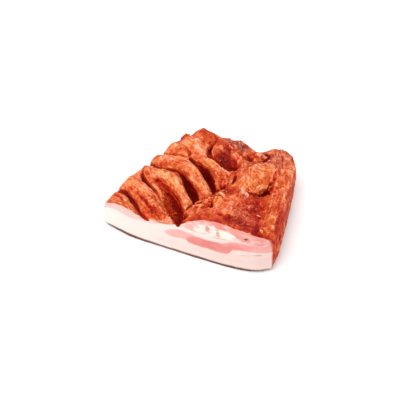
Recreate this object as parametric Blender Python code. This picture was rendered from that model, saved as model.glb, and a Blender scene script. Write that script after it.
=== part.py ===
"""A slab of smoked pork belly, rind down, with the ribs pulled out of its upper side.

The slab is one closed body. A block of fine facets is bent to the slab's outline, its upper side is raised
to the thickness of the meat and carved by the rib beds and tears, and a Decimate modifier then spends the
facets where the form turns. Metres, +Z up. The origin is under the middle of the slab, on the surface that it
lies on.

Places on the slab are written as (across, back) in millimetres, measured from close to its front left corner:
across runs along the cut face, and back runs away from it.
"""

from collections import namedtuple

import bmesh
import bpy
import numpy as np
from mathutils import Vector, noise

MM = 0.001

# The block of facets that the slab is shaped from.
FACETS_ACROSS = 150
FACETS_BACK = 144
WALL_RINGS = 14
DECIMATE_RATIO = 0.114

# Thickness, rind to upper side, as (across, thickness) in millimetres along three lines over the slab: the
# cut face, the middle, and the far side. The step up from fat belly to lean shows at the cut face.
CUT_TOP = (
    ((-5, 35), (6, 38), (18, 44), (30, 46), (46, 46), (60, 45), (72, 43), (90, 42), (106, 43), (124, 48))
    + ((136, 56), (157, 64), (176, 67), (192, 66), (208, 63), (225, 58), (252, 46))
)
MIDDLE_TOP = (
    ((-5, 42), (30, 47), (60, 48), (100, 49), (130, 50), (150, 51), (180, 54), (200, 54), (222, 50))
    + ((252, 46),)
)
FAR_TOP = (
    ((20, 43), (34, 48), (50, 55), (66, 57), (80, 54), (97, 51), (118, 50), (136, 51), (150, 47), (167, 40))
    + ((180, 47), (196, 53), (210, 53), (232, 47))
)
MIDDLE_BACK = 120 * MM  # where the middle line lies
FAR_BACK = 236 * MM

# Edges and underside.
CUT_LEAN = 5 * MM  # how far the top of the cut face lies behind its foot
EDGE_RADIUS = {"left": 4 * MM, "right": 11 * MM, "back": 10 * MM}
CUT_CORNER = 0.06  # the share of a side wall, next to the cut face, over which its bulge fades out
WALL_BULGE = 3.5 * MM
WALL_HEIGHT = 30 * MM  # the walls' usual height, for the lumps on them
RIND_LIFT = 5 * MM  # the rind curls up towards its ends
RIND_LIFT_BACK = 3 * MM  # and towards the far side
RIND_FLAT = 0.52  # the share of the half width that lies flat

# The outline, corner to corner, as (across, back) in millimetres.
FRONT_EDGE = ((1, 11), (31, 5), (55, 1), (100, -1), (157, -2), (195, -2), (228, 2), (249, 13))
RIGHT_EDGE = ((249, 13), (248, 36), (245, 94), (240, 152), (234, 205), (224, 232))
BACK_EDGE = ((28, 229), (48, 243), (76, 246), (105, 240), (140, 235), (168, 230), (196, 234), (224, 232))
LEFT_EDGE = ((1, 11), (-2, 36), (0, 62), (3, 84), (7, 112), (12, 138), (19, 170), (26, 204), (28, 229))

# A rib bed is the trough that a pulled rib leaves. Its path is (across, back) in millimetres; half width and
# depth are given at the path's start, middle and end, in millimetres. skew is where its floor lies, from -1
# at the front wall to 1 at the back wall, and lean is how far the back wall's rim hangs over the trough.
Bed = namedtuple("Bed", "path half_width depth skew lean")
RIB_BEDS = (
    Bed(((-3, 45), (12, 38), (24, 29), (38, 20)), (2, 3, 2), (2, 4, 1), 0.2, 0.5),
    Bed(((-3, 57), (20, 49), (37, 37), (56, 20), (80, 2)), (5, 6, 4), (4, 12, 4), 0.2, 2.5),
    Bed(((6, 120), (18, 100), (34, 83), (56, 69), (74, 55)), (4, 5, 5), (3, 12, 5), 0.1, 2),
    Bed(((52, 88), (75, 70), (91, 52), (106, 37), (119, 22)), (8, 16, 12), (6, 21, 20), 0.4, 4),
    Bed(((112, 32), (118, 18), (123, 0)), (6, 5, 3), (12, 7, 3), 0, 0.5),
    Bed(((8, 134), (34, 124), (52, 125), (70, 124)), (5, 5, 6), (8, 6, 9), 0.1, 1),
    Bed(((60, 128), (78, 118), (98, 98), (116, 79), (125, 62), (121, 43)), (5, 10, 5), (7, 25, 11), 0.2, 4.5),
    Bed(((120, 76), (130, 70), (142, 65)), (6, 6, 3), (13, 8, 4), 0, 0.5),
    Bed(((14, 169), (38, 161), (58, 162), (74, 158)), (4, 4, 5), (7, 4, 6), 0.2, 1),
    Bed(((50, 186), (64, 177), (76, 166), (84, 158)), (2, 3, 4), (2, 6, 9), 0.2, 1),
    Bed(((72, 165), (96, 148), (114, 132), (130, 112), (144, 88)), (6, 11, 6), (8, 24, 13), 0.1, 4.5),
    Bed(((95, 222), (92, 203), (97, 188), (106, 178)), (3, 6, 8), (5, 12, 12), -0.2, 2),
    Bed(((100, 197), (116, 184), (130, 170), (142, 160)), (12, 18, 14), (6, 15, 20), -0.4, 0.5),
    Bed(((46, 226), (44, 236), (41, 252)), (4, 5, 6), (10, 20, 22), 0, 0),
    Bed(((24, 202), (28, 213), (24, 226)), (3, 5, 3), (3, 9, 3), 0, 0),
    Bed(((188, 100), (202, 107), (210, 120), (212, 136)), (3, 8, 5), (4, 13, 5), 0.2, 4),
    Bed(((155, 143), (159, 128), (160, 111)), (2, 3, 2), (2, 5, 2), 0, 0.5),
    Bed(((184, 216), (190, 206), (185, 195), (174, 189)), (3, 5, 3), (3, 9, 4), 0, 1.5),
    Bed(((157, 208), (160, 197), (165, 188)), (3, 4, 3), (3, 9, 3), 0, 0.5),
    Bed(((141, 104), (148, 96), (152, 88)), (2, 3.5, 2), (3, 8, 3), 0, 1),
    Bed(((150, 54), (153, 46), (157, 38)), (2, 3.5, 2), (2, 7, 2), 0, 1),
)
SHOULDER = 0.25  # the share of a bed's half width over which the meat beside it rolls down into it
WALL_STEEPNESS = 1.5
RIM_WIDTH = 0.45  # the share of a bed's half width that its hanging rim takes
SHALLOW = 8 * MM  # beds shallower than this have a lesser valley and rim
VALLEY_DEPTH = 8 * MM  # the soft dip that carries each bed, so that the meat between two beds is a ridge
VALLEY_WIDTH = 13 * MM

# Broad swellings and hollows: centre (across, back), radii (across, back) and height, in millimetres.
Swell = namedtuple("Swell", "centre radii height")
SWELLS = (
    Swell((60, 234), (32, 20), 2),  # the corner that the slab hung from
    Swell((34, 66), (26, 10), 3),
    Swell((62, 94), (22, 11), 5),
    Swell((88, 128), (24, 11), 5),
    Swell((40, 146), (24, 9), 3),
    Swell((112, 158), (24, 11), 5),
    Swell((70, 192), (34, 14), 3),
    Swell((171, 205), (10, 10), 6),
    Swell((182, 138), (24, 34), 5),  # the plate of lean beside the flap
    Swell((204, 56), (24, 40), -9),  # the hollow above the cut face
    Swell((180, 28), (14, 10), -4),
    Swell((236, 70), (8, 60), 4),  # the rim along the right wall
    Swell((157, 60), (8, 34), 4),
    Swell((219, 133), (4, 8), 7),
    Swell((138, 54), (12, 4), 4),
    Swell((128, 222), (24, 14), 3),
)

# Unevenness everywhere: soft lumps of lean and fat, and finer tears in the smoked skin.
LUMP_SIZE = 17 * MM
LUMP_HEIGHT = 2.0 * MM
TEAR_SIZE = 7 * MM
TEAR_HEIGHT = 1.1 * MM
WALL_LUMP = 2.0 * MM
QUIET_AT_CUT = 0.6  # the knife's edge is that much less uneven, as far back as QUIET_BACK
QUIET_BACK = 20 * MM
NOISE_SEED = Vector((3.1, 7.7, 1.3))

MEAT_COLOUR = (0.62, 0.19, 0.06, 1)
MEAT_ROUGHNESS = 0.55


def clear_scene():
    for obj in list(bpy.data.objects):
        bpy.data.objects.remove(obj)


def smooth_step(t):
    t = np.clip(t, 0, 1)
    return t * t * (3 - 2 * t)


def smooth_path(points, samples=48):
    """Evenly numbered points on a Catmull-Rom curve through the given points, in metres."""
    p = np.array(points, float) * MM
    p = np.vstack([2 * p[0] - p[1], p, 2 * p[-1] - p[-2]])
    t = np.linspace(0, len(p) - 3, samples)
    i = np.minimum(t.astype(int), len(p) - 4)
    f = (t - i)[:, None]
    a, b, c, d = p[i], p[i + 1], p[i + 2], p[i + 3]
    return 0.5 * (2 * b + (c - a) * f + (2 * a - 5 * b + 4 * c - d) * f**2 + (3 * b - a - 3 * c + d) * f**3)


def at_share(path, share):
    """Points at this share of a path's length."""
    steps = np.linalg.norm(np.diff(path, axis=0), axis=1)
    length = np.concatenate([[0], np.cumsum(steps)])
    length /= length[-1]
    return np.stack([np.interp(share, length, path[:, k]) for k in (0, 1)], -1)


def beside_path(path, places):
    """Each place's share of the way along the path, its distance behind it, and the way back from it."""
    start, step = path[:-1], np.diff(path, axis=0)
    span = (step**2).sum(1)
    away = places[:, None, :] - start[None]
    f = np.clip((away * step).sum(2) / span, 0, 1)
    gap = away - f[..., None] * step
    nearest = (gap**2).sum(2).argmin(1)
    rows = np.arange(len(places))
    normal = np.stack([-step[:, 1], step[:, 0]], -1) / np.sqrt(span)[:, None]
    gap = gap[rows, nearest]
    side = np.sign((gap * normal[nearest]).sum(1))
    along = (nearest + f[rows, nearest]) / len(step)
    return along, side * np.linalg.norm(gap, axis=1), normal[nearest]


def three_way(values, along):
    """A size given at the start, middle and end of a path, eased between them, in metres."""
    return np.interp(smooth_step(along * 2) / 2 + smooth_step(along * 2 - 1) / 2, (0, 0.5, 1), values) * MM


def bed_profile(offset, skew):
    """How deep a bed is across its width, from 0 beyond its rounded shoulders to 1 at its floor."""
    reach = 1 + SHOULDER
    front = ((skew - offset) / (reach + skew)).clip(0, 1)
    back = ((offset - skew) / (reach - skew)).clip(0, 1)
    return 1 - smooth_step(np.where(offset < skew, front, back) ** WALL_STEEPNESS)


def carve_beds(places):
    """How far the rib beds and tears lower the upper side, and how far they push it sideways."""
    drop = np.zeros(len(places))
    valley = np.zeros(len(places))
    push = np.zeros_like(places)
    for bed in RIB_BEDS:
        along, offset, normal = beside_path(smooth_path(bed.path), places)
        width, depth = three_way(bed.half_width, along), three_way(bed.depth, along)
        drop = np.maximum(drop, depth * bed_profile(offset / width, bed.skew))
        valley = np.maximum(valley, np.exp(-((offset / VALLEY_WIDTH) ** 2)) * np.minimum(depth / SHALLOW, 1))
        rim = np.exp(-(((offset / width - 1.1) / RIM_WIDTH) ** 2))
        push -= normal * (bed.lean * MM * rim * np.minimum(depth / SHALLOW, 1))[:, None]
    return drop + VALLEY_DEPTH * valley, push


def thickness(places):
    """The meat's thickness before the beds are carved."""
    across = places[:, 0] / MM
    rows = [np.array(row, float).T for row in (CUT_TOP, MIDDLE_TOP, FAR_TOP)]
    cut, middle, far = (np.interp(across, *row) * MM for row in rows)
    height = cut + (middle - cut) * smooth_step(places[:, 1] / MIDDLE_BACK)
    height += (far - height) * smooth_step((places[:, 1] - MIDDLE_BACK) / (FAR_BACK - MIDDLE_BACK))
    for swell in SWELLS:
        away = (places / MM - swell.centre) / swell.radii
        height += swell.height * MM * np.exp(-((away**2).sum(1)))
    return height


def lumps(points, size):
    """Smooth noise from -1 to 1 at each point, with bumps of this size."""
    return np.array([noise.noise(Vector(p) / size + NOISE_SEED) for p in points])


def edge_roll(distance, radius):
    """How far a rounded shoulder of this radius lies under the flat, at this distance from the wall."""
    inside = np.clip(radius - distance, 0, radius)
    return radius - np.sqrt(radius**2 - inside**2)


def plan_places(a, b, c):
    """Where the block's shares across, back and up lie on the slab: a patch drawn between its four edges."""
    front, back = at_share(smooth_path(FRONT_EDGE), a), at_share(smooth_path(BACK_EDGE), a)
    left, right = at_share(smooth_path(LEFT_EDGE), b), at_share(smooth_path(RIGHT_EDGE), b)
    corner = [np.array(p, float) * MM for p in (FRONT_EDGE[0], FRONT_EDGE[-1], BACK_EDGE[0], BACK_EDGE[-1])]
    a, b = a[:, None], b[:, None]
    places = (1 - b) * front + b * back + (1 - a) * left + a * right
    places -= (1 - a) * (1 - b) * corner[0] + a * (1 - b) * corner[1]
    places -= (1 - a) * b * corner[2] + a * b * corner[3]
    places[:, 1] += CUT_LEAN * c * (1 - b[:, 0]) ** 4
    return places


def wall_push(a, b, c, places):
    """The side walls' bulge and lumps, outwards. The cut face at the front stays as the knife left it."""
    outwards = np.stack([(a > 0.999) * 1.0 - (a < 0.001), (b > 0.999) * 1.0], -1)
    uneven = lumps(np.column_stack([places, c * WALL_HEIGHT]), LUMP_SIZE)
    belly = WALL_BULGE * np.sin(np.pi * c) + WALL_LUMP * uneven * c
    fade = smooth_step(b / CUT_CORNER)
    return outwards * (belly * fade * (c > 0) * (c < 1))[:, None]


def slab_form(shares):
    """The slab's surface at each of the block's shares across, back and up."""
    a, b, c = shares.T
    places = plan_places(a, b, c)
    width, depth = places.max(0) - places.min(0)
    roll = edge_roll(a * width, EDGE_RADIUS["left"]) + edge_roll((1 - a) * width, EDGE_RADIUS["right"])
    roll += edge_roll((1 - b) * depth, EDGE_RADIUS["back"])
    drop, push = carve_beds(places)
    flat = np.column_stack([places, np.zeros(len(places))])
    rough = LUMP_HEIGHT * lumps(flat, LUMP_SIZE) + TEAR_HEIGHT * lumps(flat, TEAR_SIZE)
    quiet = QUIET_AT_CUT * (1 - smooth_step(places[:, 1] / QUIET_BACK))
    top = thickness(places) - roll - drop + rough * (1 - quiet)
    from_middle = np.abs(places - (places.max(0) + places.min(0)) / 2) / np.array([width, depth]) * 2
    curl = ((from_middle - RIND_FLAT) / (1 - RIND_FLAT)).clip(0, None) ** 2
    far_half = places[:, 1] > depth / 2  # at the cut face the rind lies flat
    foot = RIND_LIFT * curl[:, 0] + RIND_LIFT_BACK * curl[:, 1] * far_half
    on_top = (c == 1)[:, None]
    places = places + push * on_top + wall_push(a, b, c, places)
    return np.column_stack([places, foot + (top - foot) * c])


def block_of_facets():
    """A unit block with fine facets above and below and rings round its walls, as a bmesh."""
    block = bmesh.new()
    bmesh.ops.create_grid(block, x_segments=FACETS_ACROSS, y_segments=FACETS_BACK, size=0.5)
    risen = bmesh.ops.extrude_face_region(block, geom=block.faces[:])
    top = [part for part in risen["geom"] if isinstance(part, bmesh.types.BMVert)]
    bmesh.ops.translate(block, verts=top, vec=(0, 0, 1))
    uprights = [edge for edge in block.edges if abs(edge.verts[0].co.z - edge.verts[1].co.z) > 0.5]
    bmesh.ops.subdivide_edges(block, edges=uprights, cuts=WALL_RINGS - 1, use_grid_fill=True)
    bmesh.ops.recalc_face_normals(block, faces=block.faces[:])
    return block


def bacon_slab(collection):
    block = block_of_facets()
    shares = np.array([vertex.co for vertex in block.verts], float) + (0.5, 0.5, 0)
    points = slab_form(shares.clip(0, 1).round(6))
    low, high = points.min(0), points.max(0)
    points -= ((low[0] + high[0]) / 2, (low[1] + high[1]) / 2, low[2])
    for vertex, point in zip(block.verts, points):
        vertex.co = point
    mesh = bpy.data.meshes.new("bacon_slab")
    block.to_mesh(mesh)
    block.free()
    mesh.shade_smooth()
    slab = bpy.data.objects.new("bacon_slab", mesh)
    collection.objects.link(slab)
    fewer = slab.modifiers.new("facets where the form turns", "DECIMATE")
    fewer.ratio = DECIMATE_RATIO
    mesh.materials.append(smoked_meat())
    return slab


def smoked_meat():
    material = bpy.data.materials.new("smoked_meat")
    material.use_nodes = True
    shader = material.node_tree.nodes["Principled BSDF"]
    shader.inputs["Base Color"].default_value = MEAT_COLOUR
    shader.inputs["Roughness"].default_value = MEAT_ROUGHNESS
    shader.inputs["Metallic"].default_value = 0
    return material


def main():
    clear_scene()
    collection = bpy.data.collections.new("smoked bacon slab")
    bpy.context.scene.collection.children.link(collection)
    bacon_slab(collection)


main()
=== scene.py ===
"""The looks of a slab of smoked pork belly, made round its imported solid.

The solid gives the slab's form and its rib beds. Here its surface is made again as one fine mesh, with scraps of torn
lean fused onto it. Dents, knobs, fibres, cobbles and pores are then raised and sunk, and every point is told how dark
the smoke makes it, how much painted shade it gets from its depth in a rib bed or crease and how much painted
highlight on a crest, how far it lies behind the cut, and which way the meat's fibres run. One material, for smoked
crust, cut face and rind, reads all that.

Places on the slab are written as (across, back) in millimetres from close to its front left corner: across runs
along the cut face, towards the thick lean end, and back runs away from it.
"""

import math

import bmesh
import bpy
import numpy as np
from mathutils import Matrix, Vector


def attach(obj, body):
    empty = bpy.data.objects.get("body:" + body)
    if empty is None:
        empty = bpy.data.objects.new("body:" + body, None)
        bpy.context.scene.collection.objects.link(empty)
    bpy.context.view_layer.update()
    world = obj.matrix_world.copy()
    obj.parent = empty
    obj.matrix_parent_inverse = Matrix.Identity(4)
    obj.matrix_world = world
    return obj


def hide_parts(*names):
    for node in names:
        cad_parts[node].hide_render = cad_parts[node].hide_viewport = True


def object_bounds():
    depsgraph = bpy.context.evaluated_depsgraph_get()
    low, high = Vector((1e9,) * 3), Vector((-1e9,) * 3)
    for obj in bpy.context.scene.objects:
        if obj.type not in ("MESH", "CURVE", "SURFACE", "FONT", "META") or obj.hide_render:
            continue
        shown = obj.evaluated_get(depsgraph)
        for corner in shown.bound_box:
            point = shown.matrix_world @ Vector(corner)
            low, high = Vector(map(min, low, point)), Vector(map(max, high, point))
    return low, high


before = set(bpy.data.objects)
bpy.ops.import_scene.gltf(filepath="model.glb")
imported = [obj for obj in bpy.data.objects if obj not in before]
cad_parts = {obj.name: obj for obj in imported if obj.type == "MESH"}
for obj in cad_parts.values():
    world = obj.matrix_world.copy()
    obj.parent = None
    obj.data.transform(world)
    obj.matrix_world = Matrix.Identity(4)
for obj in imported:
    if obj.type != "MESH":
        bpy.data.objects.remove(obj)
cad_low, cad_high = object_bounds()

MM = 0.001
SLAB = "bacon_slab"
CORNER = np.array((5.3, 2.3)) * MM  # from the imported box's front left corner to the place (0, 0)

# The camera, as the slab was photographed: close by, from above the right half of the cut face.
CAMERA_AZIMUTH = 22
CAMERA_ELEVATION = 38
CAMERA_DISTANCE = 0.62
CAMERA_TARGET = (117, 93)
CAMERA_TARGET_HEIGHT = 20 * MM
SENSOR_WIDTH = 36
LENS = SENSOR_WIDTH * 415 / 400

# The studio, in metres and watts: a wide floor, an even sky, and one soft lamp above and in front.
FLOOR_HALF_WIDTH = 6.0
SKY_STRENGTH = 1.2
LAMP_PLACE = (-0.25, -0.75, 1.0)
LAMP_SIZE = 0.8
LAMP_POWER = 7.0

# How fine the surface is.
VOXEL = 0.9 * MM
SMOOTH_ROUNDS = 2
SHOULDER_DROP = 0.4  # of how far the surface near a point lies under its lid
MOST_TRIANGLES = 194_000

# Scraps of torn lean: how they are made, how many lie on a square metre where it is all torn, seed, and sizes.
LUMPS, STRIPS = "lumps", "strips"
SCRAPS = (
    ("long lumps", LUMPS, 11_000, 3, {"Length": 13 * MM, "Width": 3.6 * MM, "Thickness": 3.2 * MM}),
    ("round lumps", LUMPS, 13_000, 8, {"Length": 5.5 * MM, "Width": 5.0 * MM, "Thickness": 4.2 * MM}),
    ("flakes", LUMPS, 7_000, 5, {"Length": 10 * MM, "Width": 7.0 * MM, "Thickness": 2.6 * MM}),
    ("long strips", STRIPS, 5_500, 21, {"Length": 13 * MM, "Thickness": 2.9 * MM, "Arch": 5.0 * MM}),
    ("curls", STRIPS, 6_500, 22, {"Length": 7 * MM, "Thickness": 2.7 * MM, "Arch": 4.5 * MM}),
)
LUMP_SWING = (0.3, 0.35, 0.7)  # the most that it turns about its length, width and height, in radians
STRIP_SWING = (0.3, 0.3, 1.2)
STRIP_END = -0.4 * MM  # how high a strip's ends lie

# Lines that the fibres follow: the rib beds, front to back, then the long lean on the right. Each has its rank in the
# row of ribs, one rib's spacing apart.
RIB_SPACING = 33 * MM
FIBRE_LINES = (
    (0, ((-6, 10), (20, 12), (50, 0))),
    (1, ((-5, 57), (20, 49), (37, 37), (56, 20), (80, 2))),
    (2, ((4, 118), (34, 83), (56, 69), (91, 51), (119, 22))),
    (3, ((8, 134), (52, 125), (78, 118), (98, 98), (116, 79), (125, 62), (121, 20))),
    (4, ((14, 169), (58, 162), (96, 148), (130, 112), (146, 80), (150, 5))),
    (5, ((26, 240), (92, 212), (130, 175), (160, 130), (165, 80), (168, 5))),
    (6, ((120, 245), (170, 200), (198, 130), (200, 80), (200, 0))),
    (7.4, ((215, 240), (240, 150), (248, 80), (249, 10))),
)

# Dents and knobs: centre, half length and half width in millimetres, turn of the length in degrees, height in
# millimetres.
DENTS = (
    ((62, 174), (6, 2.6), -40, -2.6), ((36, 197), (7, 3), 10, -1.6), ((62, 32), (10, 1.8), -45, -1.8),
    ((46, 43), (8, 1.6), -40, -1.4), ((74, 24), (8, 1.7), -50, -1.7), ((86, 34), (4, 2), -40, -2),
    ((136, 52), (7, 2.6), 10, -2.6), ((160, 117), (6, 2.2), 80, -2), ((186, 88), (5, 3), 20, -2.2),
    ((171, 27), (4, 3), 0, -2.4), ((184, 31), (3, 3), 0, -2.2), ((200, 27), (6, 2.5), 70, -2.2),
    ((214, 24), (8, 4), 10, -2), ((228, 34), (5, 3), 60, -1.8), ((196, 60), (5, 2), 60, -1.6),
    ((216, 76), (8, 3), 80, -2), ((163, 152), (4, 2), 60, -1.8), ((170, 164), (5, 2), 30, -1.8),
    ((157, 176), (6, 2), 70, -1.8), ((196, 152), (5, 2), 20, -1.6), ((213, 158), (9, 1.8), 85, -2.4),
    ((224, 170), (8, 1.6), 85, -1.6), ((112, 208), (9, 3), -50, -2.4), ((124, 200), (8, 2.5), -45, -2.2),
    ((134, 216), (7, 2.5), -45, -2), ((143, 92), (4, 2.5), -60, -2.6), ((138, 122), (7, 2), -55, -1.8),
    ((150, 101), (4, 2.6), 30, -3), ((152, 80), (4, 2.2), -20, -2), ((153, 73), (8, 2), -12, -2.4),
    ((157, 65), (9, 1.6), -22, -1.6), ((131, 50), (7, 1.8), -10, -2.2), ((137, 40.5), (9, 1.6), -15, -1.4),
    ((90, 212), (4, 3), 60, -2), ((128, 188), (6, 4), 0, -2.2), ((168, 192), (14, 1.8), -52, -2),
    ((183, 214), (8, 3.5), -50, -1.8), ((196, 168), (12, 1.5), 20, -1.2), ((186, 152), (10, 1.5), -30, -1.2),
    ((175, 140), (9, 1.5), 60, -1.2), ((204, 184), (10, 1.5), -60, -1.2), ((157, 68), (9, 1.7), -15, 2.8),
    ((134, 45.5), (9, 1.8), -14, 2.6), ((105, 13), (8, 4.5), -42, 3), ((38, 231), (6, 3.5), 60, 4.5),
    ((46, 238), (5, 2.2), 100, -4), ((187, 95), (7, 2.2), -45, 2), ((187, 218), (5, 2.5), -40, 2),
    ((186, 206), (6, 2.2), 20, 2), ((221, 122), (4, 3.4), 0, 2.6), ((211, 129), (4.5, 2.4), 60, 3),
    ((203, 108), (4, 2), 50, 2.2), ((214, 146), (5, 2.2), 80, -2.6), ((230, 128), (4, 3), 60, 1.8),
    ((200, 114), (16, 2.2), 52, 1.4), ((138, 178), (8, 2.2), -60, 1.6), ((150, 176), (10, 2.2), 80, 1.6),
    ((172, 84), (14, 4), 80, 1.8), ((203, 133), (12, 3), 80, 1.6), ((152, 202), (4, 3), 0, 2),
    ((118, 216), (12, 4), -45, 2), ((232, 66), (36, 4), 104, 1.6), ((58, 41), (14, 3), -42, 1.4),
    ((72, 33), (12, 2.4), -46, 1.6), ((84, 88), (14, 3.5), -42, 1.2), ((112, 150), (14, 3.5), -42, 1.2),
)

# Where the crust is paler or darker than its height alone makes it, partly its own colour and partly painted
# highlight on the ribs' lit shoulders and painted shade in hollows and behind raised strips: centre, half length and
# half width in millimetres, turn in degrees, and how far along the crust's scale, which runs from 0, dark, to 1,
# pale.
TONE_AND_LIGHT_PATCHES = (
    ((17, 68), (13, 7), 10, 0.14), ((28, 64), (22, 4), -22, 0.1), ((42, 100), (15, 6), -30, 0.1),
    ((62, 96), (24, 3.5), -34, 0.2), ((88, 82), (18, 3.5), -46, 0.16), ((56, 117), (18, 5), -8, -0.12),
    ((12, 102), (12, 4), 100, 0.16), ((34, 88), (14, 2), -34, -0.12), ((54, 87), (9, 5), -30, 0.16),
    ((86, 66), (34, 2.6), -38, -0.12), ((88, 52), (28, 8), -42, 0.16), ((74, 66), (18, 6), -42, 0.12),
    ((66, 30), (14, 2.4), -45, -0.18), ((84, 18), (18, 2.2), -38, -0.18), ((82, 24), (13, 18), 0, -0.24),
    ((72, 34), (12, 2.6), -46, 0.12), ((88, 12), (9, 3), -20, -0.12), ((105, 13), (9, 6), -30, 0.16),
    ((12, 40), (14, 2.6), -44, -0.2), ((30, 24), (16, 2.2), -40, -0.16), ((24, 36), (12, 2.2), -42, 0.12),
    ((60, 78), (10, 5), -30, 0.1), ((217, 48), (40, 8), 106, -0.26), ((206, 84), (22, 10), 60, -0.17),
    ((206, 28), (26, 12), 0, -0.34), ((188, 36), (10, 6), 0, 0.08), ((198, 66), (28, 11), 80, -0.2),
    ((200, 46), (46, 40), 90, -0.08), ((190, 20), (24, 10), 0, -0.2), ((214, 13), (26, 6), 0, -0.2),
    ((182, 24), (14, 9), 0, -0.12), ((192, 29), (9, 3), 20, 0.1), ((188, 88), (9, 7), 0, -0.1),
    ((185, 93), (8, 4), -50, 0.34), ((178, 92), (16, 5), 85, 0.14), ((164, 88), (18, 12), 0, -0.24),
    ((173, 40), (20, 12), 0, 0.18), ((200, 112), (16, 4), 52, 0.18), ((157, 68), (10, 2.4), -15, 0.22),
    ((152, 74), (8, 3), -10, -0.24), ((134, 45.5), (10, 2.4), -14, 0.22), ((130, 50.5), (7, 2.6), -5, -0.24),
    ((140, 24), (18, 2), -52, -0.16), ((150, 16), (16, 2), -54, 0.06), ((144, 12), (26, 9), 0, -0.24),
    ((158, 18), (14, 1.8), -58, -0.12), ((132, 18), (12, 2), -50, 0.1), ((150, 101), (5, 4), 30, -0.3),
    ((229, 58), (38, 4), 107, 0.1), ((239, 62), (52, 7), 97, -0.26), ((215, 118), (14, 5), 62, -0.1),
    ((211, 129), (6, 3), 50, 0.22), ((220, 144), (12, 5), 100, -0.16), ((230, 170), (20, 3), 96, -0.14),
    ((160, 116), (10, 5), 85, -0.1), ((154, 142), (6, 4), 60, -0.12), ((168, 158), (26, 3.5), 96, -0.12),
    ((172, 176), (16, 2.4), 80, -0.14), ((186, 172), (22, 6), 78, 0.14), ((150, 152), (9, 3), 60, 0.1),
    ((134, 162), (11, 9), 0, -0.26), ((90, 212), (6, 4), 60, -0.12), ((94, 195), (6, 4), -60, 0.3),
    ((128, 182), (18, 5), -26, -0.12), ((118, 206), (18, 8), -30, -0.08), ((168, 192), (15, 3), -52, -0.2),
    ((175, 212), (13, 8), 0, -0.2), ((190, 184), (16, 10), 0, -0.2), ((196, 168), (13, 2.4), 20, -0.14),
    ((186, 152), (11, 2.4), -30, -0.12), ((204, 184), (11, 2.4), -60, -0.12), ((226, 216), (10, 4), 95, -0.2),
    ((208, 206), (26, 12), 95, -0.06), ((40, 141), (24, 6), 0, 0.16), ((84, 134), (20, 4), -38, 0.14),
    ((60, 152), (26, 5), 0, 0.08), ((60, 120), (20, 4), 0, 0.1), ((64, 176), (14, 5), -40, 0.14),
    ((72, 194), (30, 9), 0, 0.14), ((112, 50), (20, 6), -60, 0.14), ((98, 96), (26, 4), -46, -0.1),
    ((112, 134), (16, 7), -50, 0.14), ((136, 108), (10, 7), -50, 0.12), ((112, 32), (12, 7), -60, 0.12),
    ((86, 184), (16, 8), -35, 0.14), ((58, 160), (18, 8), 0, 0.22), ((74, 181), (24, 8), -20, 0.2),
    ((186, 82), (12, 8), 0, -0.12), ((214, 200), (34, 15), 95, -0.14), ((130, 213), (26, 16), -20, -0.2),
    ((100, 158), (20, 3.5), -38, 0.16), ((44, 188), (16, 6), 0, 0.06), ((36, 218), (11, 20), 0, -0.28),
    ((66, 174), (9, 2), -42, -0.12), ((35, 198), (9, 3), 0, -0.1), ((60, 228), (16, 4), 100, 0.02),
    ((80, 232), (16, 14), 80, -0.26), ((134, 238), (12, 9), 0, 0.2), ((100, 196), (12, 5), 85, -0.1),
    ((134, 224), (28, 12), -12, -0.14), ((203, 133), (13, 3.5), 80, 0.1), ((182, 188), (9, 5), 80, 0.12),
    ((152, 207), (4.5, 4), 0, 0.42), ((160, 212), (9, 6), 80, -0.12), ((238, 140), (28, 5), 98, -0.12),
    ((232, 184), (9, 16), 0, 0.12),
)
# In the same way: where grey smoke lies, where the crust is tan rather than red (partly its own hue, partly the tan
# of painted highlights on the ribs' lit shoulders), where threads of torn skin lie tangled on it, and where the lean
# is torn.
SMOKE_GREY = (
    ((132, 222), (24, 12), -12, 0.9), ((144, 212), (10, 7), 0, 0.5), ((122, 192), (18, 14), -40, 0.4),
    ((206, 204), (28, 24), 95, 0.5), ((186, 94), (9, 5), -45, 0.6), ((170, 160), (20, 12), 0, 0.2),
    ((200, 44), (34, 15), 95, 0.25),
)
TAN_AND_HIGHLIGHT_PATCHES = (
    ((187, 116), (26, 17), 55, 0.3), ((190, 50), (44, 40), 90, -0.2), ((229, 58), (46, 6), 107, 0.5),
    ((216, 50), (40, 9), 107, -0.4), ((243, 50), (50, 5), 97, -0.3), ((180, 160), (26, 22), 60, 0.2),
    ((44, 108), (24, 8), -30, 0.3), ((62, 96), (24, 5), -34, 0.4), ((88, 82), (18, 5), -46, 0.4),
    ((56, 150), (30, 6), -8, 0.3), ((100, 156), (22, 5), -40, 0.3), ((150, 60), (24, 14), 80, 0.3),
    ((18, 70), (16, 10), 0, 0.25), ((40, 186), (24, 10), 0, 0.2), ((105, 13), (9, 6), -30, -0.6),
    ((60, 222), (24, 10), 90, -0.3), ((128, 188), (26, 24), -40, -0.35),
)
THREADED = (
    ((204, 52), (44, 24), 98, 1), ((200, 190), (30, 34), 90, 0.7), ((130, 215), (26, 16), 0, 0.6),
    ((180, 130), (40, 26), 80, 0.35),
)
TORN = (
    ((147, 112), (40, 10), 98, 1), ((150, 66), (26, 11), 90, 0.9), ((172, 202), (18, 12), 0, 0.8),
    ((206, 54), (42, 24), 90, 0.2), ((176, 26), (14, 10), 0, 0.4), ((124, 196), (26, 20), -30, 0.25),
    ((68, 34), (26, 8), -45, 0.4), ((206, 114), (18, 14), 0, 0.35), ((212, 124), (9, 14), -30, 0.5),
    ((104, 26), (14, 8), -40, 0.5), ((128, 220), (24, 10), 0, 0.3), ((168, 160), (24, 18), 90, 0.3),
    ((80, 64), (24, 8), -40, 0.2),
)
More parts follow.
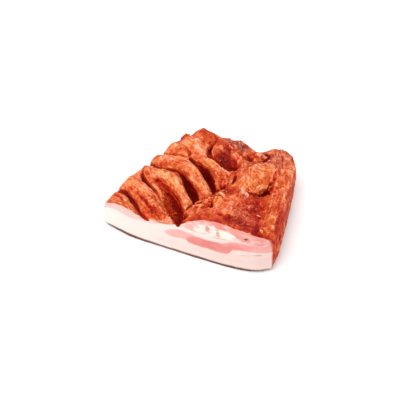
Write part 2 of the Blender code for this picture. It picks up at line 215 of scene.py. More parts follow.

# Colours along a scale: the crust from dark to pale where smoke has made it tan, where it is red, and under grey
# smoke, then the rind, and the fat along the cut. The crust's dark ends also give the painted shade in rib beds and
# creases, and their pale ends the painted highlights on crests.
TAN_CRUST_SCALE = (
    (0, "#700600"), (0.1, "#8D0D00"), (0.18, "#981803"), (0.3, "#A62E03"), (0.42, "#B1410D"), (0.54, "#BE541B"),
    (0.66, "#CD6C36"), (0.78, "#DC834B"), (0.9, "#E19A62"), (1, "#E6B287"),
)
RED_CRUST_SCALE = (
    (0, "#700600"), (0.1, "#8D0B01"), (0.18, "#981204"), (0.3, "#A62004"), (0.42, "#B3320F"), (0.54, "#BE4421"),
    (0.66, "#CD5938"), (0.78, "#DE7150"), (0.9, "#E28B6C"), (1, "#E6AE97"),
)
GREY_SMOKE_SCALE = ((0.15, "#5A1C14"), (0.4, "#8A4536"), (0.6, "#B07060"), (0.85, "#CE9D90"))
RIND_SCALE = ((0.35, "#5A2E1C"), (0.55, "#7C452A"), (0.7, "#96603C"))
FAT_SCALE = ((0, "#D8D0C9"), (0.2, "#D7CAC3"), (0.45, "#D7C5BE"), (0.8, "#D6C1B8"), (1, "#D6BDB4"))

# The cut face's layers, each laid over those before it: its colour along the cut, its foot and top lines as (across,
# height) in millimetres, how soft its edges are and how far they wander in millimetres, its strength, and where the
# mottle breaks it and how much of it is left there. Foot and top meet where a layer ends.
CUT_WIDTH = 252
CUT_HEIGHT = 80
UNBROKEN = (0.4, 0.6, 1.0)
CUT_LAYERS = (
    (  # the pale pink belt in the fat under the lean
        ((0, "#D4B5AF"), (1, "#D2AEA8")),
        ((84, 13), (100, 11), (140, 11), (180, 11), (205, 12), (250, 13)),
        ((84, 13), (100, 17), (140, 19), (180, 18), (206, 27), (250, 29)),
        3.0, 4.0, 0.6, (0.35, 0.6, 0.25),
    ),
    (  # the fat that runs over the streak to its left
        ((0, "#D7C6BE"), (1, "#D8CDC3")),
        ((62, 33), (76, 33), (90, 36), (110, 37), (126, 41), (140, 40), (190, 44), (204, 48)),
        ((62, 33), (80, 40), (100, 44), (124, 50), (150, 57), (176, 60), (196, 56), (204, 48)),
        1.5, 3.0, 0.9, UNBROKEN,
    ),
    (  # the thin lean over the fat end
        ((0, "#C4A0A2"), (0.06, "#CFA3A2"), (0.14, "#D4A29C"), (0.22, "#D3A49C"), (0.28, "#D5B0AA"),
         (0.45, "#CD9A8D")),
        ((-8, 27), (3, 30), (15, 34), (30, 35), (46, 33), (60, 33), (76, 34), (92, 37), (106, 41), (116, 46)),
        ((-8, 80), (60, 80), (100, 80), (106, 60), (116, 46)),
        1.2, 4.0, 0.85, (0.5, 0.7, 0.55),
    ),
    (  # its top, tinged by smoke
        ((0, "#D8B79C"), (0.14, "#D6A68C"), (0.3, "#CC9278"), (0.5, "#B86A4A")),
        ((-8, 36), (4, 39), (14, 42), (28, 44.5), (46, 44.5), (62, 43), (76, 41), (92, 40), (108, 41), (120, 46)),
        ((-8, 80), (60, 80), (100, 80), (112, 60), (120, 46)),
        1.5, 4.0, 0.7, (0.5, 0.7, 0.6),
    ),
    (  # the streak of lean
        ((0.4, "#D49E98"), (0.54, "#D29690"), (0.66, "#CF857C"), (0.78, "#D48884"), (0.9, "#D48E88"),
         (1, "#D49A95")),
        ((102, 28), (108, 25), (118, 24), (132, 26), (141, 22), (160, 22), (192, 22), (199, 30), (230, 33),
         (250, 31)),
        ((102, 28), (110, 34), (118, 37), (126, 39), (136, 38), (150, 36), (180, 37), (190, 40), (202, 44),
         (250, 40)),
        1.5, 4.5, 1.0, (0.42, 0.75, 0.7),
    ),
    (  # its reddest part
        ((0.5, "#CD8077"), (0.65, "#C7716A"), (0.8, "#CD7C75")),
        ((134, 29), (141, 23), (150, 22), (165, 23), (190, 23), (199, 31), (214, 35)),
        ((134, 29), (144, 33), (158, 35), (176, 35), (190, 36), (202, 38), (214, 35)),
        2.0, 5.0, 0.9, (0.42, 0.75, 0.5),
    ),
    (  # pink under the crust, right of the marbled fat
        ((0.45, "#D49E92"), (0.62, "#D08479"), (0.74, "#CE776C"), (0.82, "#D2867D"), (1, "#CE7C72")),
        ((108, 46), (126, 50), (146, 55), (160, 58), (178, 58), (196, 55), (206, 48), (226, 44), (250, 40)),
        ((108, 46), (112, 60), (130, 80), (180, 80), (250, 80)),
        1.6, 5.0, 0.95, (0.46, 0.62, 0.45),
    ),
    (  # marbling in the fat between
        ((0.45, "#D3A49B"), (0.7, "#CF958D"), (0.85, "#D0948C")),
        ((120, 43), (132, 42), (146, 43), (160, 44), (176, 45), (190, 46), (204, 48)),
        ((120, 43), (132, 51), (146, 56), (160, 59), (176, 59), (190, 56), (204, 48)),
        1.5, 5.0, 0.95, (0.42, 0.52, 0.0),
    ),
    (  # a brownish seam along the streak's upper edge
        ((0, "#A97B66"), (1, "#A97B66")),
        ((166, 41.5), (176, 42.2), (186, 43.4), (196, 45)),
        ((166, 41.5), (176, 43.8), (186, 44.8), (196, 45)),
        0.6, 2.0, 0.7, (0.4, 0.6, 0.5),
    ),
    (  # a crack in the fat at the right
        ((0, "#A8938A"), (0.9, "#A08A82"), (1, "#7C584C")),
        ((200, 21), (206, 23.4), (214, 26), (222, 27.6), (230, 28.2), (236, 28)),
        ((200, 21), (206, 24.0), (214, 26.8), (222, 28.3), (230, 29.2), (236, 28)),
        0.5, 2.0, 0.75, (0.35, 0.5, 0.4),
    ),
    (  # the rind, seen edge on
        ((0, "#5E2C26"), (1, "#56241E")),
        ((-8, -10), (60, -10), (252, -10)),
        ((-8, 5.0), (8, 5.6), (50, 5.4), (80, 4.8), (225, 4.8), (240, 5.2), (252, 5.6)),
        1.4, 2.5, 0.95, UNBROKEN,
    ),
)
# Spots on the cut: centre and radii in millimetres, turn in degrees, colour, softness and strength.
CUT_SPOTS = (
    ((163.5, 53.5), (3.2, 4.6), 0, "#C76E68", 0.3, 0.75),
    ((178, 50), (2.2, 4.6), 10, "#B98478", 0.35, 0.7),
    ((171.5, 52), (3.6, 8), 0, "#D8D0C6", 0.3, 0.8),
    ((191, 51), (10, 4.6), -10, "#D8D2C8", 0.3, 0.85),
    ((153, 47), (9, 3.0), 5, "#D8D0C6", 0.3, 0.7),
    ((137, 47.5), (8, 4.0), 12, "#D09C94", 0.35, 0.6),
    ((214, 51.5), (1.9, 1.3), 20, "#5A2C20", 0.6, 0.95),
    ((212.4, 51.2), (1.2, 0.8), 0, "#4A1C14", 0.5, 0.8),
    ((231, 28.8), (3.4, 0.9), 5, "#6A4A40", 0.6, 0.6),
    ((98, 42), (15, 1.8), 6, "#8A4A34", 0.4, 0.6),
    ((72, 39.5), (8, 1.8), 8, "#9A5A40", 0.4, 0.5),
)


def linear(hex_colour):
    """The linear RGBA of an sRGB hex colour."""
    channels = [int(hex_colour[i : i + 2], 16) / 255 for i in (1, 3, 5)]
    return (*(c / 12.92 if c <= 0.04045 else ((c + 0.055) / 1.055) ** 2.4 for c in channels), 1)


def add(tree, kind, inputs=None, scale=(), **settings):
    """Adds a node with its settings. An input is a value, a socket, or a node, whose first live output feeds it.
    A colour ramp's scale is its places and hex colours.
    """
    node = tree.nodes.new(kind)
    for name, value in settings.items():
        setattr(node, name, value)
    for _ in scale[2:]:
        node.color_ramp.elements.new(0.5)
    for index, (at, colour) in enumerate(scale):
        node.color_ramp.elements[index].position = at
        node.color_ramp.elements[index].color = linear(colour)
    for key, value in (inputs or {}).items():
        if isinstance(value, bpy.types.Node):
            value = next(output for output in value.outputs if output.enabled)
        if isinstance(value, bpy.types.NodeSocket):
            tree.links.new(value, node.inputs[key])
        else:
            node.inputs[key].default_value = value
    return node


# ---- places and noise ----


def to_slab(points):
    """Where points in metres lie on the slab, as (across, back) in metres."""
    return points[:, :2] - (cad_low.x, cad_low.y) - CORNER


def from_slab(across, back, height=0):
    """The point at a place on the slab, given in millimetres, and a height in metres."""
    return Vector((cad_low.x + CORNER[0] + across * MM, cad_low.y + CORNER[1] + back * MM, height))


def smooth_step(low, high, value):
    """From 0 at low to 1 at high, with an even curve between."""
    t = np.clip((value - low) / (high - low), 0, 1)
    return t * t * (3 - 2 * t)


def patches(rows, places):
    """The sum, at each place, of turned ovals that fade out at their rims."""
    total = np.zeros(len(places))
    for centre, radii, turn, strength in rows:
        angle = math.radians(turn)
        away = places / MM - centre
        along = away @ (math.cos(angle), math.sin(angle)) / radii[0]
        beside = away @ (-math.sin(angle), math.cos(angle)) / radii[1]
        total += strength * np.exp(-((along**2 + beside**2) ** 1.5))
    return total


def noise_tables(seed):
    draw = np.random.default_rng(seed)
    order = draw.permutation(256)
    vectors = draw.normal(size=(256, 3))
    return order, vectors / np.linalg.norm(vectors, axis=1)[:, None]


def pick(order, cell):
    """One of 256 entries for each cell of a grid."""
    cell = cell & 255
    return order[(order[(order[cell[:, 0]] + cell[:, 1]) & 255] + cell[:, 2]) & 255]


def rolling(points, size, seed):
    """Smooth noise, about -1 to 1, with bumps of this size."""
    order, slopes = noise_tables(seed)
    p = points / size
    cell = np.floor(p).astype(int)
    f = p - cell
    fade = f**3 * (f * (f * 6 - 15) + 10)
    total = np.zeros(len(points))
    for corner in np.ndindex(2, 2, 2):
        weight = np.where(np.array(corner) == 1, fade, 1 - fade).prod(1)
        total += weight * (slopes[pick(order, cell + corner)] * (f - corner)).sum(1)
    return total * 1.6


def bundled(points, size, seed):
    """Rounded bundles with sharp grooves between them, 0 in a groove to 1 on a bundle."""
    return np.minimum(np.abs(rolling(points, size, seed)) * 2.5, 1) ** 0.7


def cobbles(points, size, seed):
    """Rounded lumps of this size: about 1 on top of a lump, falling to 0 in the crease round it."""
    order, jitter = noise_tables(seed)
    p = points / size
    cell = np.floor(p).astype(int)
    nearest = np.full(len(points), 9.0)
    second = nearest.copy()
    for step in np.ndindex(3, 3, 3):
        at = cell + np.array(step) - 1
        gap = np.linalg.norm(at + 0.5 + 0.42 * jitter[pick(order, at)] - p, axis=1)
        second = np.minimum(second, np.maximum(gap, nearest))
        nearest = np.minimum(nearest, gap)
    return np.clip((second - nearest) * 2, 0, 1) ** 0.6


def smooth_path(points, samples=44):
    """Points on a Catmull-Rom curve through the given points, in metres."""
    p = np.array(points, float) * MM
    p = np.vstack([2 * p[0] - p[1], p, 2 * p[-1] - p[-2]])
    t = np.linspace(0, len(p) - 3, samples)
    i = np.minimum(t.astype(int), len(p) - 4)
    f = (t - i)[:, None]
    a, b, c, d = p[i], p[i + 1], p[i + 2], p[i + 3]
    return 0.5 * (2 * b + (c - a) * f + (2 * a - 5 * b + 4 * c - d) * f**2 + (3 * b - a - 3 * c + d) * f**3)


def fibre_rank(places):
    """Each place's rank in the row of fibre lines, in metres across them. It is level along the fibres."""
    total = np.zeros(len(places))
    weights = np.zeros(len(places))
    for rank, line in FIBRE_LINES:
        gap = np.full(len(places), np.inf)
        for point in smooth_path(line):
            gap = np.minimum(gap, ((places - point) ** 2).sum(1))
        weight = 1 / (gap + (2 * MM) ** 2)
        total += rank * weight
        weights += weight
    return total / weights * RIB_SPACING


def grain_points(points):
    """Points in the meat's own grain: across the fibres, along them, and up."""
    places = to_slab(points)
    return np.column_stack([fibre_rank(places), (places[:, 0] - places[:, 1]) * 0.7, points[:, 2]])


# ---- the slab's form ----


def mesh_arrays(mesh):
    """A mesh's points, and its normals at them."""
    arrays = np.empty((2, len(mesh.vertices) * 3), np.float32)
    for array, name in zip(arrays, ("co", "normal")):
        mesh.vertices.foreach_get(name, array)
    return arrays.reshape(2, -1, 3).astype(float)


def store(mesh, name, values):
    """Gives every point of a mesh a number or a vector."""
    values = np.asarray(values, np.float32)
    kind = "FLOAT" if values.ndim == 1 else "FLOAT_VECTOR"
    attribute = mesh.attributes.get(name) or mesh.attributes.new(name, kind, "POINT")
    attribute.data.foreach_set("value" if kind == "FLOAT" else "vector", values.ravel())


def new_object(name, mesh):
    piece = bpy.data.objects.new(name, mesh)
    bpy.context.scene.collection.objects.link(piece)
    return piece


def settled(piece):
    """The piece with its modifiers applied."""
    bpy.context.view_layer.update()
    evaluated = piece.evaluated_get(bpy.context.evaluated_depsgraph_get())
    mesh = bpy.data.meshes.new_from_object(evaluated)
    old = piece.data
    piece.modifiers.clear()
    piece.data = mesh
    bpy.data.meshes.remove(old)
    return piece


def copy_of_solid():
    """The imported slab's surface as one closed mesh."""
    shell = bmesh.new()
    shell.from_mesh(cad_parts[SLAB].data)
    bmesh.ops.remove_doubles(shell, verts=shell.verts, dist=0.01 * MM)
    mesh = bpy.data.meshes.new("slab")
    shell.to_mesh(mesh)
    shell.free()
    return mesh


class CutFace:
    """Where the knife went: for each place across, how far forward the cut lies at the foot and how it leans."""

    COLUMN = 4 * MM

    def __init__(self, points, normals):
        front = points[(normals[:, 1] < -0.8) & (points[:, 2] > 3 * MM) & (points[:, 2] < 30 * MM)]
        rows = []
        for middle in np.arange(cad_low.x, cad_high.x + self.COLUMN, self.COLUMN):
            column = front[np.abs(front[:, 0] - middle) < self.COLUMN]
            if len(column) < 30:
                continue
            column = column[column[:, 1] < column[:, 1].min() + 6 * MM]
            lean, foot = np.polyfit(column[:, 2], column[:, 1], 1)
            rows.append((middle, foot, lean))
        self.rows = np.array(rows)

    def distance(self, points):
        """How far each point is behind the cut."""
        x, y, z = points.T
        columns, feet, leans = self.rows.T
        return y - np.interp(x, columns, feet) - np.interp(x, columns, leans) * z


class TopMap:
    """The upper side's height on a fine grid, and the lid that would lie on its crests."""

    CELL = 1.0 * MM
    LID_REACH = 11  # cells: how far the lid spreads over a bed from each crest
    LID_SOFTNESS = 7
    CREASE_SOFTNESS = 3
    SHOULDER_SOFTNESS = 4

    def __init__(self, points, normals):
        up = points[normals[:, 2] > 0.05]
        span = np.array([cad_high.x - cad_low.x, cad_high.y - cad_low.y])
        self.size = np.ceil(span / self.CELL).astype(int) + 3
        height = np.full(self.size, -1.0)
        at = self.cells(up).astype(int)
        np.maximum.at(height, (at[:, 0], at[:, 1]), up[:, 2])
        for _ in range(4):  # cells that no point fell in take their neighbours' height
            height = np.where(height < 0, self.highest_near(height), height)
        self.inside = (height > 0) * 1.0
        lid = np.where(height < 0, 0, height)
        for _ in range(self.LID_REACH):
            lid = self.highest_near(lid)
        self.lid = self.softened(lid, self.LID_SOFTNESS)
        self.smooth = self.softened(height, self.CREASE_SOFTNESS)
        self.inland = self.blurred(self.inside, self.LID_SOFTNESS)  # 1 inside, half at the slab's edge
        self.sunk = self.softened(np.maximum(self.lid - height, 0), self.SHOULDER_SOFTNESS)

    def cells(self, points):
        return (points[:, :2] - (cad_low.x, cad_low.y)) / self.CELL + 1

    def highest_near(self, grid):
        wide = np.pad(grid, 1, mode="edge")
        return np.max([wide[1:-1, 1:-1], wide[2:, 1:-1], wide[:-2, 1:-1], wide[1:-1, 2:], wide[1:-1, :-2]], axis=0)

    def blurred(self, grid, radius):
        """The grid blurred over this many cells."""
        reach = np.arange(-2 * radius, 2 * radius + 1)
        kernel = np.exp(-((reach / radius) ** 2))
        for axis in (0, 1):
            grid = np.apply_along_axis(np.convolve, axis, grid, kernel / kernel.sum(), "same")
        return grid

    def softened(self, grid, radius):
        """The grid blurred, without what lies outside the slab."""
        return self.blurred(grid * self.inside, radius) / np.maximum(self.blurred(self.inside, radius), 1e-6)

    def read(self, grid, points):
        at = self.cells(points)
        cell = np.clip(np.floor(at).astype(int), 0, self.size - 2)
        f = np.clip(at - cell, 0, 1)
        total = 0
        for i, j in np.ndindex(2, 2):
            weight = (f[:, 0] if i else 1 - f[:, 0]) * (f[:, 1] if j else 1 - f[:, 1])
            total = total + weight * grid[cell[:, 0] + i, cell[:, 1] + j]
        return total


def grown_on(base_mesh, name, tree, values):
    """A new object with what a Geometry Nodes tree makes on a mesh."""
    piece = new_object(name, base_mesh.copy())
    modifier = piece.modifiers.new(name, "NODES")
    modifier.node_group = tree
    for item in tree.interface.items_tree:
        if item.item_type == "SOCKET" and item.in_out == "INPUT" and item.name in values:
            modifier[item.identifier] = values[item.name]
    return settled(piece)


def start_tree(name, sizes):
    """A Geometry Nodes tree with an input for each of a scrap's sizes, and its group input's sockets."""
    tree = bpy.data.node_groups.new(name, "GeometryNodeTree")
    inputs = dict.fromkeys(("Number per square metre", *sizes), "Float")
    for socket, kind in {"Geometry": "Geometry", **inputs, "Seed": "Int", "Material": "Material"}.items():
        tree.interface.new_socket(socket, in_out="INPUT", socket_type="NodeSocket" + kind)
    tree.interface.new_socket("Geometry", in_out="OUTPUT", socket_type="NodeSocketGeometry")
    return tree, add(tree, "NodeGroupInput").outputs


def strew(tree, given, scrap, most_swing, size):
    """Ends a tree with copies of a scrap where the slab is torn, each turned more or less along the fibres."""
    torn = add(tree, "GeometryNodeInputNamedAttribute", {"Name": "torn"}, data_type="FLOAT")
    way = add(tree, "GeometryNodeInputNamedAttribute", {"Name": "fibre_way"}, data_type="FLOAT_VECTOR")
    density = add(tree, "ShaderNodeMath", {0: torn, 1: given["Number per square metre"]}, operation="MULTIPLY")
    points = {"Mesh": given["Geometry"], "Density": density, "Seed": given["Seed"]}
    points = add(tree, "GeometryNodeDistributePointsOnFaces", points)
    upright = add(tree, "FunctionNodeAlignRotationToVector", {"Vector": points.outputs["Normal"]}, axis="Z")
    along = {"Rotation": upright, "Vector": way}
    along = add(tree, "FunctionNodeAlignRotationToVector", along, axis="X", pivot_axis="Z")
    swing = {0: tuple(-turn for turn in most_swing), 1: most_swing, "Seed": given["Seed"]}
    swing = add(tree, "FunctionNodeRandomValue", swing, data_type="FLOAT_VECTOR")
    turned = {"Rotation": along, "Rotate By": swing}
    turned = add(tree, "FunctionNodeRotateRotation", turned, rotation_space="LOCAL")
    lain = {"Points": points.outputs["Points"], "Instance": scrap, "Rotation": turned, "Scale": size}
    real = add(tree, "GeometryNodeRealizeInstances", {0: add(tree, "GeometryNodeInstanceOnPoints", lain)})
    add(tree, "NodeGroupOutput", {0: add(tree, "GeometryNodeSetMaterial", {0: real, "Material": given["Material"]})})


def lump_tree():
    """Lumps of torn lean, lying along the fibres where the slab's points say that it is torn."""
    tree, given = start_tree("torn lean", ("Length", "Width", "Thickness"))
    share = {0: (0.35, 0.45, 0.45), 1: (1.0, 1.0, 1.0), "Seed": given["Seed"]}
    share = add(tree, "FunctionNodeRandomValue", share, data_type="FLOAT_VECTOR")
    full = add(tree, "ShaderNodeCombineXYZ", {0: given["Length"], 1: given["Width"], 2: given["Thickness"]})
    size = add(tree, "ShaderNodeVectorMath", {0: share, 1: full}, operation="MULTIPLY")
    lump = add(tree, "GeometryNodeMeshIcoSphere", {"Radius": 0.5, "Subdivisions": 2})
    strew(tree, given, lump, LUMP_SWING, size)
    return tree


def strip_tree():
    """Thin tapered strips of lean, arched so that only their middles stand off the surface."""
    tree, given = start_tree("strips", ("Length", "Thickness", "Arch"))
    near, far, sideways = (
        add(tree, "ShaderNodeMath", {0: given["Length"], 1: part}, operation="MULTIPLY") for part in (-0.5, 0.5, 0.25)
    )
    start = add(tree, "ShaderNodeCombineXYZ", {0: near, 1: sideways, 2: STRIP_END})
    middle = add(tree, "ShaderNodeCombineXYZ", {2: given["Arch"]})
    end = add(tree, "ShaderNodeCombineXYZ", {0: far, 1: sideways, 2: STRIP_END})
    arch = {"Resolution": 6, "Start": start, "Middle": middle, "End": end}
    arch = add(tree, "GeometryNodeCurveQuadraticBezier", arch)
    along = add(tree, "GeometryNodeSplineParameter").outputs["Factor"]
    from_middle = add(tree, "ShaderNodeMath", {0: along, 1: 0.5}, operation="SUBTRACT")
    from_middle = add(tree, "ShaderNodeMath", {0: from_middle}, operation="ABSOLUTE")
    taper = add(tree, "ShaderNodeMapRange", {0: from_middle, 1: 0.1, 2: 0.5, 3: 1.0, 4: 0.25})
    radius = add(tree, "ShaderNodeMath", {0: given["Thickness"], 1: 0.5}, operation="MULTIPLY")
    profile = add(tree, "GeometryNodeCurvePrimitiveCircle", {"Resolution": 5, "Radius": radius}).outputs["Curve"]
    strip = {"Curve": arch, "Profile Curve": profile, "Fill Caps": True, "Scale": taper}
    size = {0: (0.5, 0.6, 0.6), 1: (1.1, 1.3, 1.2), "Seed": given["Seed"]}
    size = add(tree, "FunctionNodeRandomValue", size, data_type="FLOAT_VECTOR")
    strew(tree, given, add(tree, "GeometryNodeCurveToMesh", strip), STRIP_SWING, size)
    return tree


def tell_tears(mesh):
    """Tells each point of a surface how torn it is and which way its fibres run."""
    points, normals = mesh_arrays(mesh)
    places = to_slab(points)
    torn = np.clip(patches(TORN, places), 0, 1)
    torn *= smooth_step(0.2, 0.5, normals[:, 2]) * smooth_step(7 * MM, 13 * MM, places[:, 1] + 2 * MM)
    store(mesh, "torn", torn)
    step = 1 * MM
    rank = fibre_rank(places)
    uphill = np.column_stack([fibre_rank(places + (step, 0)) - rank, fibre_rank(places + (0, step)) - rank])
    store(mesh, "fibre_way", np.column_stack([uphill[:, 1], -uphill[:, 0], 0 * rank]) / step)


def slab_surface():
    """The slab with scraps of torn lean fused onto it, as one fine closed mesh."""
    bare = copy_of_solid()
    tell_tears(bare)
    joined = bmesh.new()
    joined.from_mesh(bare)
    trees = {LUMPS: lump_tree(), STRIPS: strip_tree()}
    for name, form, number, seed, sizes in SCRAPS:
        scraps = grown_on(bare, name, trees[form], {"Number per square metre": number, "Seed": seed, **sizes})
        joined.from_mesh(scraps.data)
        bpy.data.objects.remove(scraps)
    whole = bpy.data.meshes.new("smoked_bacon_slab")
    joined.to_mesh(whole)
    joined.free()
    slab = new_object("smoked_bacon_slab", whole)
    remesh = slab.modifiers.new("one skin", "REMESH")
    remesh.mode = "VOXEL"
    remesh.voxel_size = VOXEL
    smooth = slab.modifiers.new("soften", "SMOOTH")
    smooth.factor = 0.5
    smooth.iterations = SMOOTH_ROUNDS
    return settled(slab)


def relief(points, normals, cut):
    """How far each point of the surface rises, in metres."""
    places = to_slab(points)
    grain = grain_points(points)
    grain += np.column_stack([rolling(points, 22 * MM, seed) for seed in (34, 35, 36)]) * 4 * MM
    grain += np.column_stack([rolling(points, 8 * MM, seed) for seed in (31, 32, 33)]) * 2 * MM
    upper = smooth_step(0.1, 0.5, normals[:, 2])
    wall = 1 - smooth_step(0.25, 0.6, np.abs(normals[:, 2]))
    crust = smooth_step(1 * MM, 5 * MM, cut) * smooth_step(-0.9, -0.5, normals[:, 2])
    torn = np.clip(patches(TORN, places), 0.15, 1)

    ribbed = 0.25 + 0.75 * smooth_step(-0.2, 0.5, rolling(points, 16 * MM, 20))
    bundle = (bundled(grain / (1, 3.2, 1.2), 6.0 * MM, 11) - 0.6) * (0.4 + 0.6 * ribbed)
    strand = (bundled(grain / (1, 5, 1.2), 2.8 * MM, 12) - 0.6) * ribbed
    swell = rolling(points, 13 * MM, 13)
    knob = rolling(points, 6 * MM, 19)
    crumb = cobbles(points, 4.8 * MM, 14) - 0.6
    grit = cobbles(points, 2.6 * MM, 15) - 0.6
    pit = smooth_step(0.3, 0.62, rolling(points, 4.2 * MM, 16))
    peel = (rolling(points, 12 * MM, 21) * 3) % 1 - 0.5  # layers that end in small steps

    rise = upper * (1.0 * swell + 0.5 * knob + 1.1 * bundle + 0.5 * strand)
    rise += upper * torn * (1.1 * crumb + 0.3 * grit + 0.9 * peel)
    rise += upper * (1 - torn) * (0.12 * grit + 0.35 * peel)
    rise -= upper * (0.2 + torn) * 1.2 * pit
    rise += upper * patches(DENTS, places + np.column_stack([knob, swell]) * 1.2 * MM)
    layers = bundled(points / (5, 5, 1), 4.0 * MM, 17) - 0.6
    rise += wall * (0.5 * layers + 0.6 * swell + 0.1 * grit) * smooth_step(2 * MM, 12 * MM, cut)
    slice_marks = 0.12 * rolling(points / (1, 1, 3), 9 * MM, 18)
    return (rise * crust + slice_marks * (1 - crust)) * MM


def standing_out(mesh, points, normals):
    """How far each point stands out from those round it: over 0 on a fine crest, under 0 in a fine crease."""
    ends = np.empty(len(mesh.edges) * 2, np.int32)
    mesh.edges.foreach_get("vertices", ends)
    here = np.concatenate([ends[0::2], ends[1::2]])
    there = np.concatenate([ends[1::2], ends[0::2]])
    count = np.bincount(here, minlength=len(points))
    middle = [np.bincount(here, points[there, axis], len(points)) / count for axis in range(3)]
    out = ((points - np.column_stack(middle)) * normals).sum(1)
    for _ in range(3):
        out = (out + np.bincount(here, out[there], len(points)) / count) / 2
    return np.clip(out / out.std(), -2, 2)


def fine_slab():
    slab = slab_surface()
    mesh = slab.data
    points, normals = mesh_arrays(mesh)
    face = CutFace(points, normals)
    top = TopMap(points, normals)
    points += normals * relief(points, normals, face.distance(points))[:, None]
    # The ribs are rolls, so their shoulders drop towards the beds.
    on_top = 1 - smooth_step(2 * MM, 8 * MM, top.read(top.lid, points) - points[:, 2])
    on_top *= smooth_step(1 * MM, 6 * MM, face.distance(points)) * top.read(top.inland, points)
    points[:, 2] -= SHOULDER_DROP * on_top * top.read(top.sunk, points)
    mesh.vertices.foreach_set("co", points.astype(np.float32).ravel())
    mesh.update()
    fewer = slab.modifiers.new("fewer", "DECIMATE")
    fewer.ratio = min(1, MOST_TRIANGLES / sum(len(polygon.vertices) - 2 for polygon in mesh.polygons))
    settled(slab)
    slab.data.shade_smooth()
    tell_finish(slab.data, face)
    return slab


def tell_finish(mesh, face):
    """Tells each point of the finished mesh what its finish depends on."""
    points, normals = mesh_arrays(mesh)
    places = to_slab(points)
    top = TopMap(points, normals)
    upper = smooth_step(0.0, 0.4, normals[:, 2])
    wall = 1 - smooth_step(0.2, 0.5, np.abs(normals[:, 2]))
    depth = (top.read(top.lid, points) - points[:, 2]) / MM
    crease = (top.read(top.smooth, points) - points[:, 2]) / MM
    sway = np.column_stack([rolling(points, 10 * MM, seed) for seed in (41, 42)]) * 4 * MM
    sway += np.column_stack([rolling(points, 4 * MM, seed) for seed in (43, 44)]) * 1.5 * MM
    grain = grain_points(points)

    behind = face.distance(points) / MM + 0.8 * upper * rolling(points, 3 * MM, 55)
    inland = smooth_step(0.8, 0.97, top.read(top.inland, points))
    in_bed = np.maximum(upper, smooth_step(9, 16, depth)) * inland
    # Painted highlight: crests just beside a rib bed are made paler.
    painted_crest_highlight = smooth_step(1, 4, top.read(top.sunk, points) / MM) * (1 - smooth_step(1.5, 6, depth)) * upper
    # Painted shade: the deeper a point lies in a rib bed, under the lid over the crests, the darker its crust, less
    # so at the beds' left ends.
    painted_bed_shade = smooth_step(1, 14, depth) * in_bed * (0.6 + 0.4 * smooth_step(50 * MM, 100 * MM, places[:, 0]))
    tone_and_painted_light = 0.61 - 0.46 * painted_bed_shade + 0.13 * painted_crest_highlight * inland
    charred = upper * (1 - smooth_step(2, 9, behind)) * smooth_step(130 * MM, 170 * MM, places[:, 0])
    # Painted shade in the creases, darker the deeper they sink under the smoothed surface, and the crust's darker
    # band just behind the cut at the right; then a painted highlight where the surface stands above its smoothed
    # height.
    tone_and_painted_light -= 0.22 * smooth_step(0.2, 2.2, crease) * upper + 0.28 * charred
    tone_and_painted_light += 0.2 * smooth_step(0.1, 1.6, -crease) * upper
    # Painted highlight on fine crests and painted shade in fine creases.
    tone_and_painted_light += 0.05 * standing_out(mesh, points, normals) * upper
    # Patches of paler and darker crust: partly its own colour, partly painted highlight on the ribs' lit shoulders
    # and painted shade in hollows and behind raised strips.
    tone_and_painted_light += patches(TONE_AND_LIGHT_PATCHES, places + sway) * upper
    tone_and_painted_light += 0.08 * rolling(points, 14 * MM, 45) + 0.26 * rolling(grain / (1, 5, 1), 4.5 * MM, 46)
    tone_and_painted_light += 0.06 * rolling(points, 4 * MM, 47)
    torn = np.clip(patches(TORN, places), 0, 1)
    tone_and_painted_light += (0.12 * torn + 0.3 * smooth_step(0.5, 0.9, torn)) * (cobbles(points, 4.5 * MM, 53) - 0.65) * upper
    tone_and_painted_light += 0.22 * rolling(grain / (1, 5, 1), 3.4 * MM, 49) * smooth_step(3, 9, depth) * in_bed
    along_wall = points + np.column_stack([sway[:, 0], sway[:, 1], 0.1 * points[:, 1]])
    streaks = rolling(along_wall / (9, 9, 1), 3.2 * MM, 48) + 0.6 * rolling(along_wall / (7, 7, 1), 1.8 * MM, 54)
    tone_and_painted_light += wall * (0.2 * streaks - 0.1 * (1 - in_bed))
    # This value, from dark to pale, holds the painted shade and highlights above along with the crust's own
    # variation.
    store(mesh, "tone_and_painted_light", np.where(tone_and_painted_light > 0.7, 0.7 + 0.75 * (tone_and_painted_light - 0.7), tone_and_painted_light).clip(-0.2, 0.9))
    store(mesh, "smoke_grey", np.clip(patches(SMOKE_GREY, places + sway), 0, 1) * upper)
    # Tan rather than red: partly the crust's own hue, partly the tan of painted highlights on the ribs' lit
    # shoulders.
    tan_and_highlight = 0.45 + patches(TAN_AND_HIGHLIGHT_PATCHES, places + sway) - 0.5 * charred
    tan_and_highlight += 0.5 * rolling(points, 14 * MM, 51) + 0.4 * rolling(points, 5 * MM, 52)
    store(mesh, "tan_and_highlight", np.clip(tan_and_highlight, 0, 1))
    store(mesh, "threaded", np.clip(patches(THREADED, places + sway) + 0.15, 0, 1) * upper)
    store(mesh, "grain", grain)
    store(mesh, "behind_cut", behind)
    underside = smooth_step(-0.35, -0.75, normals[:, 2])
    store(mesh, "rind", underside * (1 - smooth_step(3 * MM, 8 * MM, points[:, 2])))


# ---- materials ----


